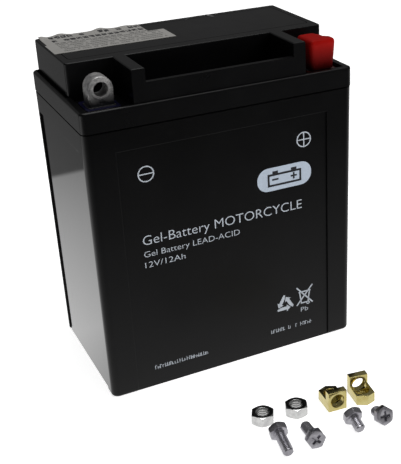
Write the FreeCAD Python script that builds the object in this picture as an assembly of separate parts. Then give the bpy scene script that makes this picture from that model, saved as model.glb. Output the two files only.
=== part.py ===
import FreeCAD, Part
import math
import os
from FreeCAD import Vector

# Sealed 12 V lead battery for a motorcycle: case, lid, six cells, terminals and loose terminal hardware.
# Row frame: X to the right along the front, front face at -Y, +Z up, origin under the middle of the case.

# Outer size of the battery
battery_width = 134.0
battery_depth = 80.0
battery_height = 160.0
half_width = battery_width / 2
half_depth = battery_depth / 2

# Case
seam_z = 135.0
case_draft = 1.2
case_corner_r = 3.6
case_bottom_r = 1.6
panel_top_z = 124.4
panel_recess = 0.9
panel_edge_r = 0.35
front_panel_half = 52.8
side_panel_front_y = -30.5
side_panel_rear_y = 35.8
seam_groove_depth = 0.7
seam_groove_height = 0.7
foot_recess = 0.8
foot_rim = 6.0
foot_middle_half = 6.0

# Cells
cell_count = 6
cavity_half_x = 63.4
cavity_half_y = 36.6
partition = 1.6
cell_floor_z = 3.2
rib_height = 3.0
rib_width = 3.0
rib_y = 20.0
cell_width = (2 * cavity_half_x - (cell_count - 1) * partition) / cell_count
cell_pitch = cell_width + partition

# Plate stack, from left to right N P N P N P N with a separator between neighbours
negative_plate_t = 1.6
positive_plate_t = 2.4
positive_per_cell = 3
negative_per_cell = positive_per_cell + 1
separators_per_cell = 2 * positive_per_cell
separator_t = (cell_width - positive_per_cell * positive_plate_t
               - negative_per_cell * negative_plate_t) / separators_per_cell
plate_half_y = 34.0
plate_top_z = 110.0
separator_over = 1.0
separator_top_z = 112.0
lug_half_y = 5.0
lug_y = 24.0
gel_top_z = 115.0

# Straps, risers and the welds through the partitions
strap_z = 116.0
strap_top_z = 120.0
strap_half_y = 6.5
strap_clear = 0.4
riser_t = 3.0
riser_half_y = 6.5
riser_top_z = 131.0
weld_r = 4.0
weld_z = 125.5

# Lid
rim_z = 144.5
rim_corner_r = 2.8
rim_edge_r = 1.2
block_half_x = 64.4
block_front_y = -14.0
block_rear_y = 37.6
block_corner_r = 1.6
block_edge_r = 0.7
arm_inner_x = 36.2
arm_outer_x = 42.4
arm_front_y = -38.8
basin_wall_t = 2.5
basin_wall_z = 153.5
pocket_outer_x = 63.4
pocket_front_y = -37.6
pocket_floor_z = 142.4
rim_groove_t = 1.1
rim_groove_depth = 1.6
lid_floor_t = 2.5

# Valve gallery in the lid block and the plate that covers it
gallery_half_x = 61.0
gallery_front_y = -8.0
gallery_rear_y = 33.0
gallery_corner_r = 2.0
gallery_ledge = 1.8
gallery_floor_z = 150.0
cover_t = 2.4
cover_gap = 0.35
vent_y = 12.5
vent_outer_r = 4.2
vent_inner_r = 2.6
vent_top_z = 153.0
valve_cap_r = 5.2
valve_cap_clear = 0.08
valve_cap_top_t = 1.1
valve_cap_skirt_z = 150.6
hold_down_r = 1.8
hold_down_gap = 0.9

# Terminals
terminal_x = 54.0
terminal_half_w = 5.75
terminal_front_y = -30.5
terminal_rear_y = -22.0
terminal_hole_z = 151.0
terminal_hole_r = 3.25
terminal_sink = 0.9
foot_over = 0.6
foot_h = 1.2
seal_half_x = 7.8
seal_front_y = -34.2
seal_rear_y = -18.3
seal_t = 0.8
post_r = 4.5
bushing_r = 6.5
bushing_flange_r = 8.0
bushing_flange_t = 1.5
post_y = (terminal_front_y + terminal_rear_y) / 2

# Push-on cap over the positive terminal
cap_half_x = 6.95
cap_front_y = -35.4
cap_rear_y = -20.0
cap_bottom_z = 143.7
cap_top_z = 158.5
cap_wall = 1.0
cap_edge_r = 1.4
cap_pad_drop = 0.6

# Paper label and scrap of an older label on the top face
paper_t = 0.15
label_left_x = -63.6
label_front_y = 4.0
label_right_x = -4.4
label_step_y = 21.0
label_step_x = -12.4
label_rear_y = 37.0
label_lift_y = 31.0
label_lift_z = 1.0
scrap_x = (11.0, 27.0)
scrap_y = (29.0, 37.2)

# Loose hardware: M6 nuts, M5 bolts with a cross recess, and two brass L-shaped terminal blocks
nut_af = 10.0
nut_height = 5.0
thread_minor_r = 2.6
nut_sink = 0.7
bolt_af = 8.0
bolt_r = 2.5
head_height = 3.5
tip_chamfer = 0.6
hex_chamfer = 0.5
recess_reach = 2.5
recess_slot = 1.2
recess_depth = 1.8

nuts = {
    "nut_1": {"x": -10.9, "y": -89.2, "turn": 2.0},
    "nut_2": {"x": 5.5, "y": -91.3, "turn": 8.0},
}
bolts = {
    "long_bolt_1": {"x": -11.3, "y": -106.9, "heading": -97.0, "shank": 12.0, "roll": 10.0, "cross": 20.0},
    "long_bolt_2": {"x": 1.0, "y": -116.2, "heading": 81.6, "shank": 12.0, "roll": 30.0, "cross": 45.0},
    "short_bolt_1": {"x": 23.4, "y": -113.6, "heading": -93.4, "shank": 6.5, "roll": 5.0, "cross": 20.0},
    "short_bolt_2": {"x": 36.0, "y": -116.8, "heading": 87.0, "shank": 6.5, "roll": 10.0, "cross": 4.0},
}

block_width = 9.2
block_side = 11.8
block_nose = 13.8
block_plate_z = 5.0
lip_height = 10.0
lip_t = 3.5
bore_r = 3.3
bore_z = 5.1
bore_sink = 0.3
pocket_r = 3.6
pocket_y = 7.3
pocket_floor = 1.0
blocks = {
    "terminal_block_1": {"x": 18.6, "y": -98.9, "turn": -5.0},
    "terminal_block_2": {"x": 43.7, "y": -89.8, "turn": 172.0},
}

z_axis = Vector(0, 0, 1)
y_axis = Vector(0, 1, 0)
x_axis = Vector(1, 0, 0)
eps = 0.01


def box(x0, x1, y0, y1, z0, z1):
    return Part.makeBox(x1 - x0, y1 - y0, z1 - z0, Vector(x0, y0, z0))


def cylinder(radius, x, y, z0, z1):
    return Part.makeCylinder(radius, z1 - z0, Vector(x, y, z0), z_axis)


def prism(points, z0, z1):
    corners = [Vector(x, y, z0) for x, y in points]
    outline = Part.makePolygon(corners + corners[:1])
    return Part.Face(outline).extrude(Vector(0, 0, z1 - z0))


def rounded_outline(x0, x1, y0, y1, radius, z):
    corners = ((x1, y1, 0), (x0, y1, 90), (x0, y0, 180), (x1, y0, 270))
    arcs = []
    for x, y, angle in corners:
        inward = math.radians(angle + 45)
        centre = Vector(x - radius * math.copysign(1, math.cos(inward)),
                        y - radius * math.copysign(1, math.sin(inward)), z)
        circle = Part.Circle(centre, z_axis, radius)
        arc = Part.ArcOfCircle(circle, math.radians(angle), math.radians(angle + 90)).toShape()
        arcs.append(arc)
    lines = []
    for index, arc in enumerate(arcs):
        following = arcs[(index + 1) % len(arcs)]
        lines.append(arc)
        lines.append(Part.LineSegment(arc.Vertexes[-1].Point, following.Vertexes[0].Point).toShape())
    return Part.Wire(lines)


def rounded_box(x0, x1, y0, y1, z0, z1, radius):
    face = Part.Face(rounded_outline(x0, x1, y0, y1, radius, z0))
    return face.extrude(Vector(0, 0, z1 - z0))


def edges_at(shape, z):
    return [edge for edge in shape.Edges
            if abs(edge.BoundBox.ZMin - z) < eps and abs(edge.BoundBox.ZMax - z) < eps]


def save(shape, node):
    clean = shape.removeSplitter()
    if not clean.isValid():
        raise ValueError(node + " is not a valid shape")
    clean.exportStep("parts/" + node + ".step")
    print(node, "solids", len(clean.Solids), "volume", round(clean.Volume, 1))


def cell_x(index):
    return -cavity_half_x + index * cell_pitch


def cell_centre_x(index):
    return cell_x(index) + cell_width / 2


def negative_side(index):
    """+1 where the cell's negative strap is at the rear, -1 where it is at the front."""
    return -1 if index % 2 == 0 else 1


# ---- case and lid

def drafted_body(grow):
    """The case's outer form, which narrows downwards by case_draft on each side."""
    foot_x = half_width - case_draft + grow
    foot_y = half_depth - case_draft + grow
    top_x = half_width + grow
    top_y = half_depth + grow
    foot = rounded_outline(-foot_x, foot_x, -foot_y, foot_y, case_corner_r, 0)
    top = rounded_outline(-top_x, top_x, -top_y, top_y, case_corner_r, seam_z)
    return Part.makeLoft([foot, top], True, True)


def case():
    outer = drafted_body(0)
    body = outer.makeFillet(case_bottom_r, edges_at(outer, 0))
    recessed = drafted_body(-panel_recess)
    reach = half_width + 1
    front_band = box(-front_panel_half, front_panel_half, -reach, reach, -1, panel_top_z)
    side_band = box(-reach, reach, side_panel_front_y, side_panel_rear_y, -1, panel_top_z)
    body = body.cut([front_band.cut(recessed), side_band.cut(recessed)])
    body = body.makeFillet(panel_edge_r, panel_edges(body, outer))
    groove = box(-reach, reach, -reach, reach, seam_z - seam_groove_height, seam_z + 1)
    kept = rounded_box(-half_width + seam_groove_depth, half_width - seam_groove_depth,
                       -half_depth + seam_groove_depth, half_depth - seam_groove_depth,
                       seam_z - seam_groove_height, seam_z + 1, case_corner_r)
    body = body.cut(groove.cut(kept))
    inset_x = half_width - case_draft - foot_rim
    inset_y = half_depth - case_draft - foot_rim
    for side in (-1, 1):
        near = min(side * foot_middle_half, side * inset_x)
        far = max(side * foot_middle_half, side * inset_x)
        body = body.cut(rounded_box(near, far, -inset_y, inset_y, -1, foot_recess, case_corner_r))
    for index in range(cell_count):
        x0 = cell_x(index)
        x1 = x0 + cell_width
        hollow = box(x0, x1, -cavity_half_y, cavity_half_y, cell_floor_z, seam_z + 1)
        for side in (-1, 1):
            y = side * rib_y
            hollow = hollow.cut(box(x0, x1, y - rib_width / 2, y + rib_width / 2,
                                    cell_floor_z, cell_floor_z + rib_height))
        body = body.cut(hollow)
    for index in range(cell_count - 1):
        body = body.cut(partition_weld(index))
    return body


def panel_edges(body, outer):
    """The edges where the label recesses meet the case's outer faces, above the rounded foot."""
    skin = outer.Shells[0]
    found = []
    for edge in body.Edges:
        bounds = edge.BoundBox
        middle = Part.Vertex(edge.valueAt((edge.FirstParameter + edge.LastParameter) / 2))
        across = abs(bounds.ZMin - panel_top_z) < eps and bounds.ZLength < eps
        upright = abs(bounds.ZMax - panel_top_z) < eps and bounds.ZLength > 50
        if (across or upright) and middle.distToShape(skin)[0] < eps:
            found.append(edge)
    return found


def partition_weld(index):
    """The round weld through the partition to the right of a cell, on that cell's positive side."""
    y = -negative_side(index) * lug_y
    start = Vector(cell_x(index) + cell_width, y, weld_z)
    return Part.makeCylinder(weld_r, partition, start, x_axis)


def lid():
    skirt = rounded_box(-half_width, half_width, -half_depth, half_depth, seam_z, rim_z, rim_corner_r)
    skirt = skirt.makeFillet(rim_edge_r, edges_at(skirt, rim_z))
    block = rounded_box(-block_half_x, block_half_x, block_front_y, block_rear_y,
                        pocket_floor_z, battery_height, block_corner_r)
    body = skirt.fuse(block)
    for side in (-1, 1):
        near = min(side * arm_inner_x, side * arm_outer_x)
        far = max(side * arm_inner_x, side * arm_outer_x)
        body = body.fuse(box(near, far, arm_front_y, block_front_y + 1, pocket_floor_z, battery_height))
    body = body.fuse(box(-arm_inner_x, arm_inner_x, arm_front_y, arm_front_y + basin_wall_t,
                         pocket_floor_z, basin_wall_z))
    body = body.removeSplitter()
    body = body.makeFillet(block_edge_r, edges_at(body, battery_height))
    for side in (-1, 1):
        near = min(side * arm_outer_x, side * pocket_outer_x)
        far = max(side * arm_outer_x, side * pocket_outer_x)
        body = body.cut(box(near, far, pocket_front_y, block_front_y, pocket_floor_z, battery_height))
    body = body.cut(box(-arm_inner_x, arm_inner_x, arm_front_y + basin_wall_t, block_front_y,
                        pocket_floor_z, rim_z + 1))
    moat = box(-block_half_x - rim_groove_t, block_half_x + rim_groove_t, block_front_y,
               block_rear_y + rim_groove_t, rim_z - rim_groove_depth, rim_z + 1)
    inner = rounded_box(-block_half_x, block_half_x, block_front_y - 5, block_rear_y,
                        rim_z - rim_groove_depth, rim_z + 1, block_corner_r)
    body = body.cut(moat.cut(inner))
    body = body.cut(rounded_box(-gallery_half_x, gallery_half_x, gallery_front_y, gallery_rear_y,
                                battery_height - cover_t, battery_height + 1, gallery_corner_r))
    body = body.cut(rounded_box(-gallery_half_x + gallery_ledge, gallery_half_x - gallery_ledge,
                                gallery_front_y + gallery_ledge, gallery_rear_y - gallery_ledge,
                                gallery_floor_z, battery_height, gallery_corner_r))
    ceiling_z = pocket_floor_z - lid_floor_t
    for index in range(cell_count):
        x0 = cell_x(index)
        x1 = x0 + cell_width
        body = body.cut(box(x0, x1, -cavity_half_y, cavity_half_y - 1, seam_z - 1, ceiling_z))
        body = body.cut(box(x0, x1, block_front_y + lid_floor_t, block_rear_y - lid_floor_t,
                            ceiling_z - 1, gallery_floor_z - lid_floor_t))
        centre = cell_centre_x(index)
        body = body.fuse(cylinder(vent_outer_r, centre, vent_y, gallery_floor_z - 1, vent_top_z))
        body = body.cut(cylinder(vent_inner_r, centre, vent_y, ceiling_z, vent_top_z + 1))
    for side in (-1, 1):
        body = body.cut(cylinder(bushing_r, side * terminal_x, post_y, ceiling_z - 1, rim_z + 1))
    return body


def valve_cover():
    bottom_z = battery_height - cover_t
    cover_half_x = gallery_half_x - cover_gap
    plate = rounded_box(-cover_half_x, cover_half_x, gallery_front_y + cover_gap,
                        gallery_rear_y - cover_gap, bottom_z, battery_height, gallery_corner_r)
    stop_z = vent_top_z + valve_cap_top_t + hold_down_gap
    for index in range(cell_count):
        plate = plate.fuse(cylinder(hold_down_r, cell_centre_x(index), vent_y, stop_z, bottom_z + eps))
    return plate


def valve_cap(index):
    x = cell_centre_x(index)
    cap_top = vent_top_z + valve_cap_top_t
    outer = cylinder(valve_cap_r, x, vent_y, valve_cap_skirt_z, cap_top)
    outer = outer.makeFillet(0.6, edges_at(outer, cap_top))
    return outer.cut(cylinder(vent_outer_r + valve_cap_clear, x, vent_y, valve_cap_skirt_z - 1, vent_top_z))


# ---- terminals

def terminal(side):
    x = side * terminal_x
    front = terminal_front_y
    depth = terminal_rear_y - terminal_front_y
    body = box(x - terminal_half_w, x + terminal_half_w, front, terminal_rear_y,
               pocket_floor_z, terminal_hole_z)
    eye = Vector(x, front, terminal_hole_z)
    body = body.fuse(Part.makeCylinder(terminal_half_w, depth, eye, y_axis))
    body = body.fuse(box(x - terminal_half_w - foot_over, x + terminal_half_w + foot_over,
                         front - foot_over, terminal_rear_y + foot_over,
                         pocket_floor_z, pocket_floor_z + foot_h))
    body = body.cut(Part.makeCylinder(terminal_hole_r, depth, eye, y_axis))
    wide = terminal_hole_r + terminal_sink
    body = body.cut(Part.makeCone(wide, terminal_hole_r, terminal_sink, eye, y_axis))
    rear_eye = Vector(x, terminal_rear_y, terminal_hole_z)
    body = body.cut(Part.makeCone(wide, terminal_hole_r, terminal_sink, rear_eye, -y_axis))
    return body


def terminal_seal(side):
    x = side * terminal_x
    ring = rounded_box(x - seal_half_x, x + seal_half_x, seal_front_y, seal_rear_y,
                       pocket_floor_z, pocket_floor_z + seal_t, 2.0)
    over = terminal_half_w + foot_over
    return ring.cut(box(x - over, x + over, terminal_front_y - foot_over, terminal_rear_y + foot_over,
                        pocket_floor_z, pocket_floor_z + seal_t))


def terminal_bushing(side):
    x = side * terminal_x
    ceiling_z = pocket_floor_z - lid_floor_t
    ring = cylinder(bushing_r, x, post_y, ceiling_z, pocket_floor_z)
    ring = ring.fuse(cylinder(bushing_flange_r, x, post_y, ceiling_z - bushing_flange_t, ceiling_z))
    return ring.cut(cylinder(post_r, x, post_y, ceiling_z - bushing_flange_t, pocket_floor_z))


def terminal_post(side):
    return cylinder(post_r, side * terminal_x, post_y, strap_top_z, pocket_floor_z)


def terminal_cap():
    x0 = terminal_x - cap_half_x
    x1 = terminal_x + cap_half_x
    shell = rounded_box(x0, x1, cap_front_y, cap_rear_y, cap_bottom_z, cap_top_z, cap_edge_r)
    shell = shell.makeFillet(cap_edge_r - 0.1, edges_at(shell, cap_top_z))
    shell = shell.cut(box(x1 - 3.0, x1 + 1, cap_front_y + 7.5, cap_rear_y + 1,
                          cap_top_z - cap_pad_drop, cap_top_z + 1))
    ceiling_z = cap_top_z - cap_wall - cap_pad_drop / 2
    hollow = rounded_box(x0 + cap_wall, x1 - cap_wall, cap_front_y + cap_wall, cap_rear_y - cap_wall,
                         cap_bottom_z - 1, ceiling_z, cap_edge_r - 0.6)
    return shell.cut(hollow)


# ---- cells

def plate(x0, thickness, y):
    sheet = box(x0, x0 + thickness, -plate_half_y, plate_half_y, cell_floor_z + rib_height, plate_top_z)
    return sheet.fuse(box(x0, x0 + thickness, y - lug_half_y, y + lug_half_y, plate_top_z - 1, strap_z))


def plate_positions(index):
    """Left faces of the cell's negative plates, positive plates and separators."""
    negatives = []
    positives = []
    separators = []
    x = cell_x(index)
    for count in range(negative_per_cell):
        negatives.append(x)
        x += negative_plate_t
        if count == positive_per_cell:
            break
        separators.append(x)
        x += separator_t
        positives.append(x)
        x += positive_plate_t
        separators.append(x)
        x += separator_t
    return negatives, positives, separators


def negative_plates(index):
    y = negative_side(index) * lug_y
    return Part.makeCompound([plate(x, negative_plate_t, y) for x in plate_positions(index)[0]])


def positive_plates(index):
    y = -negative_side(index) * lug_y
    return Part.makeCompound([plate(x, positive_plate_t, y) for x in plate_positions(index)[1]])


def separators(index):
    half = plate_half_y + separator_over
    foot_z = cell_floor_z + rib_height
    return Part.makeCompound([box(x, x + separator_t, -half, half, foot_z, separator_top_z)
                              for x in plate_positions(index)[2]])


def strap(index, y, riser_side):
    """A strap along the plate lugs; riser_side is the wall its riser stands against, 0 at a post."""
    x0 = cell_x(index) + strap_clear
    x1 = cell_x(index) + cell_width - strap_clear
    bar = box(x0, x1, y - strap_half_y, y + strap_half_y, strap_z, strap_top_z)
    if riser_side == 0:
        return bar
    wall = cell_x(index) + (cell_width if riser_side > 0 else 0)
    riser_x0 = min(wall, wall - riser_side * riser_t)
    riser = box(riser_x0, riser_x0 + riser_t, y - riser_half_y, y + riser_half_y, strap_z, riser_top_z)
    return bar.fuse(riser)


def straps(index):
    negative_y = negative_side(index) * lug_y
    first = strap(index, negative_y, 0 if index == 0 else -1)
    last = strap(index, -negative_y, 0 if index == cell_count - 1 else 1)
    return Part.makeCompound([first, last])


def gel_fill():
    fills = []
    stack_foot_z = cell_floor_z + rib_height
    for index in range(cell_count):
        x0 = cell_x(index)
        x1 = x0 + cell_width
        fill = box(x0, x1, -cavity_half_y, cavity_half_y, cell_floor_z, gel_top_z)
        half = plate_half_y + separator_over
        fill = fill.cut(box(x0, x1, -half, half, stack_foot_z, separator_top_z))
        for side in (-1, 1):
            fill = fill.cut(box(x0, x1, side * rib_y - rib_width / 2, side * rib_y + rib_width / 2,
                                cell_floor_z, stack_foot_z))
            fill = fill.cut(box(x0, x1, side * lug_y - lug_half_y, side * lug_y + lug_half_y,
                                separator_top_z, gel_top_z))
        fills.append(fill)
    return Part.makeCompound(fills)


# ---- labels on the top face

def top_label():
    """An L-shaped paper label whose rear edge has come loose and curls up."""
    outline = [(label_left_x, label_front_y), (label_right_x, label_front_y), (label_right_x, label_step_y),
               (label_step_x, label_step_y), (label_step_x, label_rear_y), (label_left_x + 1, label_rear_y),
               (label_left_x + 1, label_step_y), (label_left_x, label_step_y)]
    sheet = prism(outline, battery_height, battery_height + paper_t)
    foot_z = battery_height
    curl = extrude_side([(label_lift_y, foot_z), (label_rear_y, foot_z + label_lift_z),
                         (label_rear_y, foot_z + label_lift_z + paper_t), (label_lift_y, foot_z + paper_t)],
                        label_step_x - label_left_x - 1)
    curl.translate(Vector(label_left_x + 1, 0, 0))
    flat = box(label_left_x, label_right_x, label_front_y, label_lift_y, foot_z, foot_z + paper_t)
    return sheet.common(flat).fuse(curl)


def label_scrap():
    left, right = scrap_x
    near, far = scrap_y
    outline = [(left, near), (right, near + 2), (right - 1, far), (left + 2, far)]
    return prism(outline, battery_height, battery_height + paper_t)


# ---- loose hardware

def hexagon(height, across_flats):
    """A hexagonal prism with its flats up and down Y, both ends chamfered round the corners."""
    corner_r = across_flats / 2 / math.cos(math.radians(30))
    points = [(corner_r * math.cos(math.radians(60 * n)), corner_r * math.sin(math.radians(60 * n)))
              for n in range(6)]
    end_r = across_flats / 2 - 0.1
    body = prism(points, 0, height)
    wide = corner_r + 0.1
    profile = [Vector(0, 0, 0), Vector(end_r, 0, 0), Vector(wide, 0, hex_chamfer),
               Vector(wide, 0, height - hex_chamfer), Vector(end_r, 0, height), Vector(0, 0, height)]
    spun = Part.Face(Part.makePolygon(profile + profile[:1])).revolve(Vector(0, 0, 0), z_axis, 360)
    return body.common(spun)


def nut(place):
    body = hexagon(nut_height, nut_af).cut(cylinder(thread_minor_r, 0, 0, -1, nut_height + 1))
    mouth_r = thread_minor_r + nut_sink
    for z, direction in ((0, 1), (nut_height, -1)):
        mouth = Vector(0, 0, z)
        body = body.cut(Part.makeCone(mouth_r, thread_minor_r, nut_sink, mouth, z_axis * direction))
    body.rotate(Vector(0, 0, 0), z_axis, place["turn"])
    body.translate(Vector(place["x"], place["y"], 0))
    return body


def bolt(place):
    """A hexagon-head bolt with a cross recess, lying on its head's edge and the tip of its shank."""
    shank = place["shank"]
    body = hexagon(head_height, bolt_af)
    body.rotate(Vector(0, 0, 0), z_axis, place["roll"])
    for turn in (place["cross"], place["cross"] + 90):
        slot = box(-recess_reach, recess_reach, -recess_slot / 2, recess_slot / 2, -1, recess_depth)
        slot.rotate(Vector(0, 0, 0), z_axis, turn)
        body = body.cut(slot)
    body = body.fuse(cylinder(bolt_r, 0, 0, head_height - eps, head_height + shank - tip_chamfer))
    tip = Vector(0, 0, head_height + shank - tip_chamfer)
    body = body.fuse(Part.makeCone(bolt_r, bolt_r - tip_chamfer, tip_chamfer, tip, z_axis))
    body.translate(Vector(0, 0, -head_height))
    body.rotate(Vector(0, 0, 0), y_axis, 90)
    body.rotate(Vector(0, 0, 0), y_axis, lying_tilt(place))
    body.rotate(Vector(0, 0, 0), z_axis, place["heading"])
    body.translate(Vector(place["x"], place["y"], -body.BoundBox.ZMin))
    return body


def lying_tilt(place):
    """How far a bolt's tip drops when it lies on the floor, in degrees."""
    corner_r = bolt_af / 2 / math.cos(math.radians(30))
    off_flat = 30 - abs((place["roll"] % 60) - 30)
    drop = corner_r * math.cos(math.radians(30 - off_flat)) - bolt_r
    return math.degrees(math.atan2(drop, place["shank"] - tip_chamfer))


def extrude_side(points, width):
    corners = [Vector(0, y, z) for y, z in points]
    return Part.Face(Part.makePolygon(corners + corners[:1])).extrude(Vector(width, 0, 0))


def terminal_block(place):
    """A pointed plate with a raised lip; a bore through the lip opens into a round pocket in the plate."""
    middle = block_width / 2
    plan = prism([(0, 0), (block_width, 0), (block_width, block_side), (middle, block_nose),
                  (0, block_side)], 0, lip_height)
    side = extrude_side([(0, 0), (block_nose, 0), (block_nose, block_plate_z), (lip_t, block_plate_z),
                         (lip_t, lip_height), (0, lip_height)], block_width)
    body = plan.common(side)
    body = body.cut(Part.makeCylinder(bore_r, pocket_y + 1, Vector(middle, -1, bore_z), y_axis))
    body = body.cut(Part.makeCone(bore_r + bore_sink, bore_r, bore_sink, Vector(middle, 0, bore_z), y_axis))
    body = body.cut(cylinder(pocket_r, middle, pocket_y, pocket_floor, block_plate_z + 1))
    body.rotate(Vector(0, 0, 0), z_axis, place["turn"])
    body.translate(Vector(place["x"], place["y"], 0))
    return body


os.makedirs("parts", exist_ok=True)

save(case(), "case")
save(lid(), "lid")
save(valve_cover(), "valve_cover")
save(gel_fill(), "gel_fill")
save(Part.makeCompound([partition_weld(index) for index in range(cell_count - 1)]), "partition_welds")
for index in range(cell_count):
    number = str(index + 1)
    save(valve_cap(index), "valve_cap_" + number)
    save(negative_plates(index), "cell_" + number + "_negative_plates")
    save(positive_plates(index), "cell_" + number + "_positive_plates")
    save(separators(index), "cell_" + number + "_separators")
    save(straps(index), "cell_" + number + "_straps")
for side, name in ((-1, "negative"), (1, "positive")):
    save(terminal(side), name + "_terminal")
    save(terminal_seal(side), name + "_terminal_seal")
    save(terminal_bushing(side), name + "_bushing")
    save(terminal_post(side), name + "_post")
save(terminal_cap(), "terminal_cap")
save(top_label(), "top_label")
save(label_scrap(), "label_scrap")
for name, place in nuts.items():
    save(nut(place), name)
for name, place in bolts.items():
    save(bolt(place), name)
for name, place in blocks.items():
    save(terminal_block(place), name)
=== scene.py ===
import bmesh
import bpy
import math
import random
from mathutils import Matrix, Vector, noise


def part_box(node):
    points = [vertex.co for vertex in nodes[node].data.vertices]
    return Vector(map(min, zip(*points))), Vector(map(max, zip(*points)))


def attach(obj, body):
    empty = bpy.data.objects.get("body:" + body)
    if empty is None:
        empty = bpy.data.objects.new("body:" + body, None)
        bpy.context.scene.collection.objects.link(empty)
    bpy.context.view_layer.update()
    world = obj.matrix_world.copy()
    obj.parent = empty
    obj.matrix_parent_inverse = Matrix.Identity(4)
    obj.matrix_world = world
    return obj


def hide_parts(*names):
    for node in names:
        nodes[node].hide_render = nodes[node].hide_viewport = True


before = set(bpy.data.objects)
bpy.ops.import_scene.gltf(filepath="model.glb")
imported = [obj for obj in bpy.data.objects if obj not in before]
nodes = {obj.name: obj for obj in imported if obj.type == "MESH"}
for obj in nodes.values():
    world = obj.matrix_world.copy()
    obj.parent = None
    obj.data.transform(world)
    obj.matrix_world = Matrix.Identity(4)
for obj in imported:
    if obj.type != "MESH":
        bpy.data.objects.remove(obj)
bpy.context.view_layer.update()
mm = 0.001
random.seed(12)


# node helpers shared by every material

def plug(tree, value, socket):
    if isinstance(value, bpy.types.NodeSocket):
        tree.links.new(value, socket)
    else:
        socket.default_value = value


def addNode(tree, kind, inputs=None, **settings):
    node = tree.nodes.new(kind)
    for name, value in settings.items():
        setattr(node, name, value)
    for name, value in (inputs or {}).items():
        plug(tree, value, node.inputs[name])
    return node


def mathOf(tree, operation, *values):
    node = addNode(tree, "ShaderNodeMath", operation=operation)
    for index, value in enumerate(values):
        plug(tree, value, node.inputs[index])
    return node.outputs[0]


def remap(tree, value, low, high, toLow=0.0, toHigh=1.0):
    inputs = {"Value": value, "From Min": low, "From Max": high, "To Min": toLow, "To Max": toHigh}
    return addNode(tree, "ShaderNodeMapRange", inputs, clamp=True).outputs["Result"]


def blendColor(tree, factor, first, second):
    node = addNode(tree, "ShaderNodeMix", data_type="RGBA")
    plug(tree, factor, node.inputs[0])
    plug(tree, first, node.inputs[6])
    plug(tree, second, node.inputs[7])
    return node.outputs[2]


def between(tree, value, low, high):
    above = mathOf(tree, "GREATER_THAN", value, low)
    return mathOf(tree, "MULTIPLY", above, mathOf(tree, "LESS_THAN", value, high))


def axisOf(tree, vector, axis):
    return addNode(tree, "ShaderNodeSeparateXYZ", {"Vector": vector}).outputs[axis]


def noiseOf(tree, vector, scale, detail=3.0, roughness=0.5):
    inputs = {"Vector": vector, "Scale": scale, "Detail": detail, "Roughness": roughness}
    return addNode(tree, "ShaderNodeTexNoise", inputs).outputs["Fac"]


def stretched(tree, vector, scale, turn=(0.0, 0.0, 0.0)):
    inputs = {"Vector": vector, "Scale": scale, "Rotation": turn}
    return addNode(tree, "ShaderNodeMapping", inputs).outputs["Vector"]


def newGroup(name, amounts, outputs):
    # a shader group takes a Vector and named amounts
    tree = bpy.data.node_groups.new(name, "ShaderNodeTree")
    tree.interface.new_socket("Vector", in_out="INPUT", socket_type="NodeSocketVector")
    for label, value in amounts.items():
        socket = tree.interface.new_socket(label, in_out="INPUT", socket_type="NodeSocketFloat")
        socket.default_value = value
    for label in outputs:
        tree.interface.new_socket(label, in_out="OUTPUT", socket_type="NodeSocketFloat")
    return tree, tree.nodes.new("NodeGroupInput").outputs, tree.nodes.new("NodeGroupOutput").inputs


def placeGroup(tree, group, vector, amounts):
    node = addNode(tree, "ShaderNodeGroup", {"Vector": vector}, node_tree=group)
    for name, value in amounts.items():
        plug(tree, value, node.inputs[name])
    return node.outputs


# surface effects that several materials share

def buildMouldSkin():
    # fine grain over a slow ripple that runs up and down, as the mould was polished
    amounts = {"Grain": 900.0, "Ripple": 60.0, "Ripple Share": 0.5}
    tree, given, out = newGroup("mouldSkin", amounts, ["Height", "Cloud"])
    grain = noiseOf(tree, given["Vector"], given["Grain"], 3.0, 0.6)
    upright = stretched(tree, given["Vector"], (1.0, 1.0, 0.06))
    ripple = noiseOf(tree, upright, given["Ripple"], 2.0, 0.45)
    fine = mathOf(tree, "MULTIPLY", grain, mathOf(tree, "SUBTRACT", 1.0, given["Ripple Share"]))
    slow = mathOf(tree, "MULTIPLY", ripple, given["Ripple Share"])
    plug(tree, mathOf(tree, "ADD", fine, slow), out["Height"])
    plug(tree, noiseOf(tree, given["Vector"], 34.0, 4.0, 0.55), out["Cloud"])
    return tree


def buildDust():
    # small pale specks with bare stretches between them
    tree, given, out = newGroup("dust", {"Speck": 1400.0, "Amount": 0.3}, ["Mask"])
    speck = noiseOf(tree, given["Vector"], given["Speck"], 1.0, 0.5)
    edge = mathOf(tree, "SUBTRACT", 0.86, mathOf(tree, "MULTIPLY", given["Amount"], 0.25))
    spots = remap(tree, speck, edge, 0.9)
    patches = remap(tree, noiseOf(tree, given["Vector"], 45.0, 3.0), 0.42, 0.66)
    plug(tree, mathOf(tree, "MULTIPLY", spots, patches), out["Mask"])
    return tree


def buildScratches():
    # hairline marks in two slanting families
    tree, given, out = newGroup("scratches", {"Size": 120.0, "Amount": 0.5}, ["Mask"])
    marks = []
    for turn, squeeze in ((0.5, 0.05), (-0.9, 0.08)):
        lines = stretched(tree, given["Vector"], (1.0, squeeze, 1.0), (turn, turn * 0.6, turn))
        field = noiseOf(tree, lines, given["Size"], 2.0, 0.5)
        off = mathOf(tree, "ABSOLUTE", mathOf(tree, "SUBTRACT", field, 0.5))
        marks.append(remap(tree, off, 0.0, 0.006, 1.0, 0.0))
    both = mathOf(tree, "MAXIMUM", marks[0], marks[1])
    patches = remap(tree, noiseOf(tree, given["Vector"], 70.0, 2.0), 0.5, 0.7)
    kept = mathOf(tree, "MULTIPLY", both, patches)
    plug(tree, mathOf(tree, "MULTIPLY", kept, given["Amount"]), out["Mask"])
    return tree


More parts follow.
